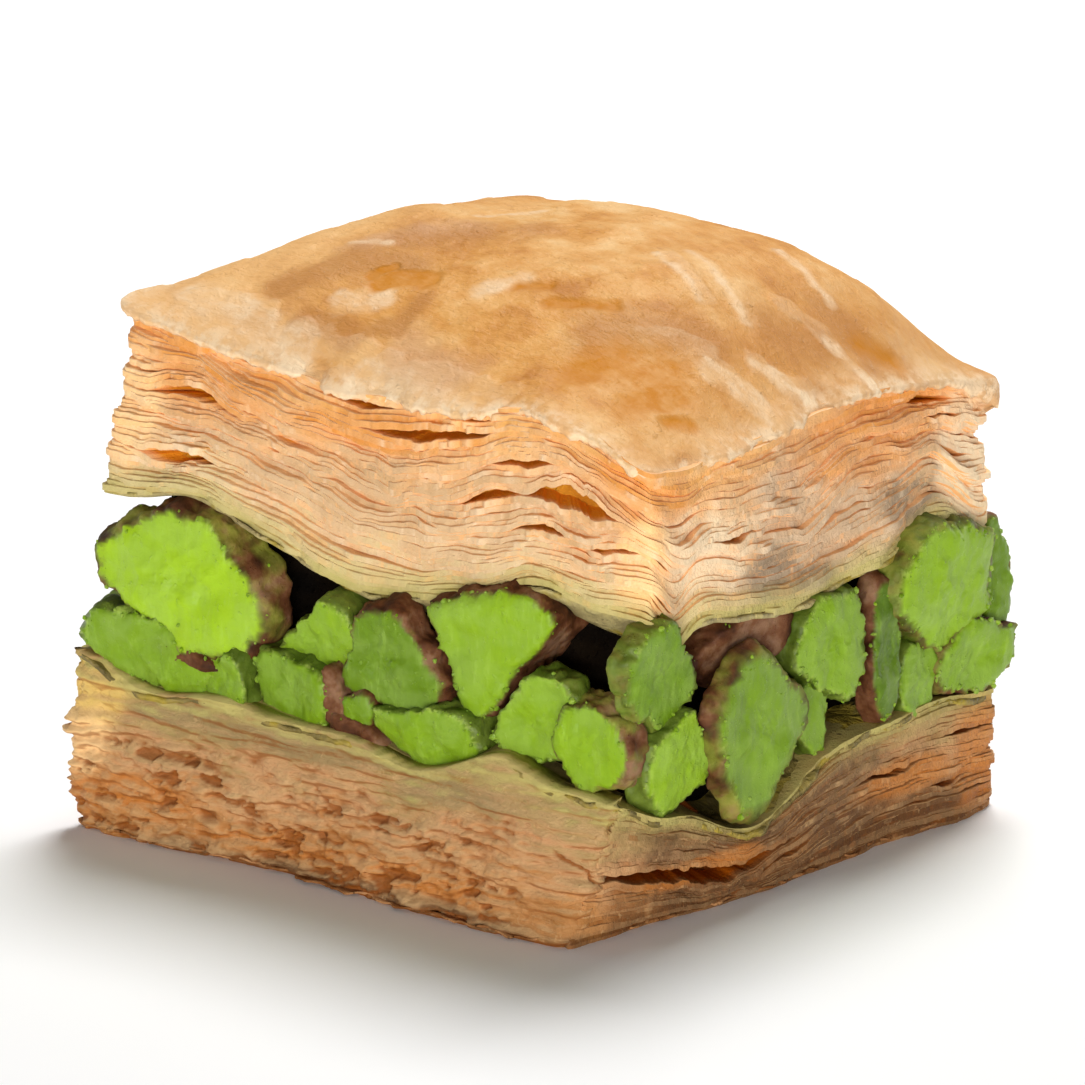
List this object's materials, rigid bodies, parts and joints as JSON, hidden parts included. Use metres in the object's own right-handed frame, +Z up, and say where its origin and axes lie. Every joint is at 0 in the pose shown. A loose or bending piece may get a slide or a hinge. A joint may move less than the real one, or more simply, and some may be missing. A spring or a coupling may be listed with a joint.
{
  "type": "pistachio baklava piece",
  "caption": "Square-cut layered pastry: a dense base of thin leaves, a filling of coarse chopped pistachios that shows at every cut side, and a taller flaky lid with a domed baked crust.",
  "frame": {"origin": "on the flat underside, at the middle of its four corners", "axes": "+Z up; the near cut corner lies at (+X, -Y), and the cut sides face roughly +X, +Y, -X and -Y"},
  "size_m": [0.0456, 0.0446, 0.0386],
  "materials": {
    "base_pastry": "syrup-soaked baked pastry leaves, tan to orange-brown",
    "pistachio": "fresh-cut pistachio, bright green with purple-brown skin",
    "lid_pastry": "baked pastry leaves, cream edges under a golden glazed crust"
  },
  "bodies": {
    "root": {"base_pastry": "base_pastry", "pistachio_bed": "pistachio", "lid_pastry": "lid_pastry"}
  },
  "joints": []
}
